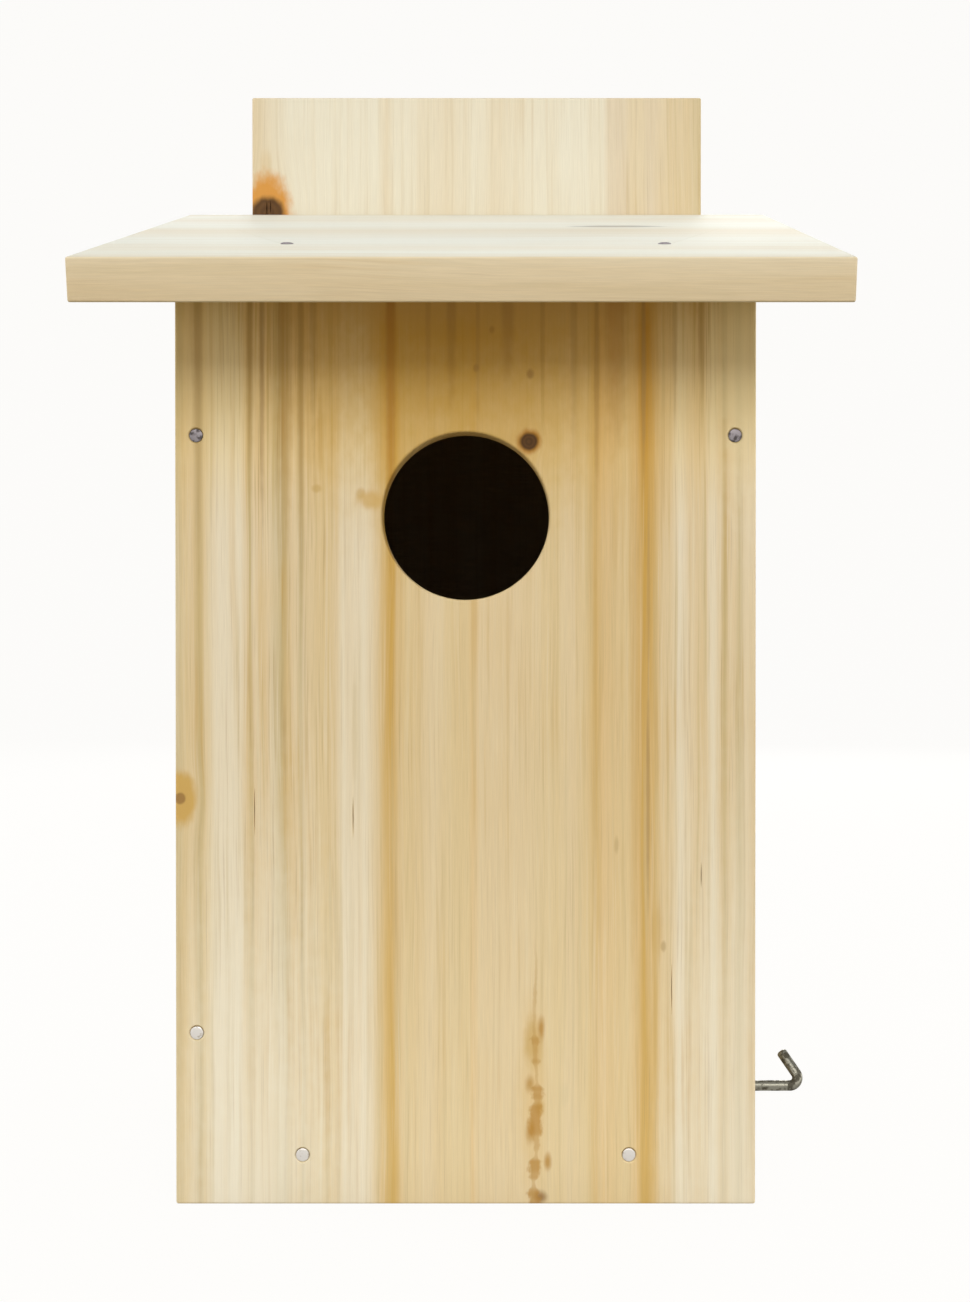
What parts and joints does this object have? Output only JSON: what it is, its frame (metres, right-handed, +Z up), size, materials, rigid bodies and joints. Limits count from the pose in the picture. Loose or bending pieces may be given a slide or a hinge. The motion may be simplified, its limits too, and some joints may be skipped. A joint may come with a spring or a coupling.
{
  "type": "birdhouse",
  "caption": "Softwood nest box with a round entrance, a forward-sloping roof, a side clean-out door on nail pivots and a turn hook.",
  "frame": {"origin": "under the middle of the whole box, on the surface that it stands on", "axes": "+Z up, -Y towards the front panel and its entrance hole, +X towards the clean-out door and the hook"},
  "size_m": [0.1666, 0.1746, 0.285],
  "materials": {
    "front_pine": "planed, unfinished",
    "back_pine": "planed, unfinished",
    "side_pine": "planed, unfinished",
    "roof_pine": "planed, unfinished",
    "nail_steel": "bright wire",
    "hook_steel": "dull zinc plate"
  },
  "bodies": {
    "house": {"front_panel": "front_pine", "mounting_board": "back_pine", "left_side": "side_pine", "floor_board": "side_pine", "roof_board": "roof_pine", "nail_front_left_upper": "nail_steel", "nail_front_left_lower": "nail_steel", "nail_front_floor_left": "nail_steel", "nail_front_floor_right": "nail_steel", "nail_back_left_upper": "nail_steel", "nail_back_left_lower": "nail_steel", "nail_back_floor_left": "nail_steel", "nail_back_floor_right": "nail_steel", "nail_back_roof_left": "nail_steel", "nail_back_roof_right": "nail_steel", "nail_roof_front_left": "nail_steel", "nail_roof_front_right": "nail_steel", "nail_side_floor_front": "nail_steel", "nail_side_floor_rear": "nail_steel", "pivot_nail_front": "nail_steel", "pivot_nail_rear": "nail_steel"},
    "door": {"side_door": "side_pine"},
    "hook": {"latch_hook": "hook_steel"}
  },
  "joints": [
    {"name": "door_swing", "type": "hinge", "parent": "house", "child": "door", "pos_m": [0.06125, 0.01765, 0.175], "axis": [0, -1, 0], "range_deg": [0, 135]},
    {"name": "hook_turn", "type": "hinge", "parent": "house", "child": "hook", "pos_m": [0.066, -0.04725, 0.026], "axis": [-1, 0, 0], "range_deg": [-90, 90]}
  ]
}
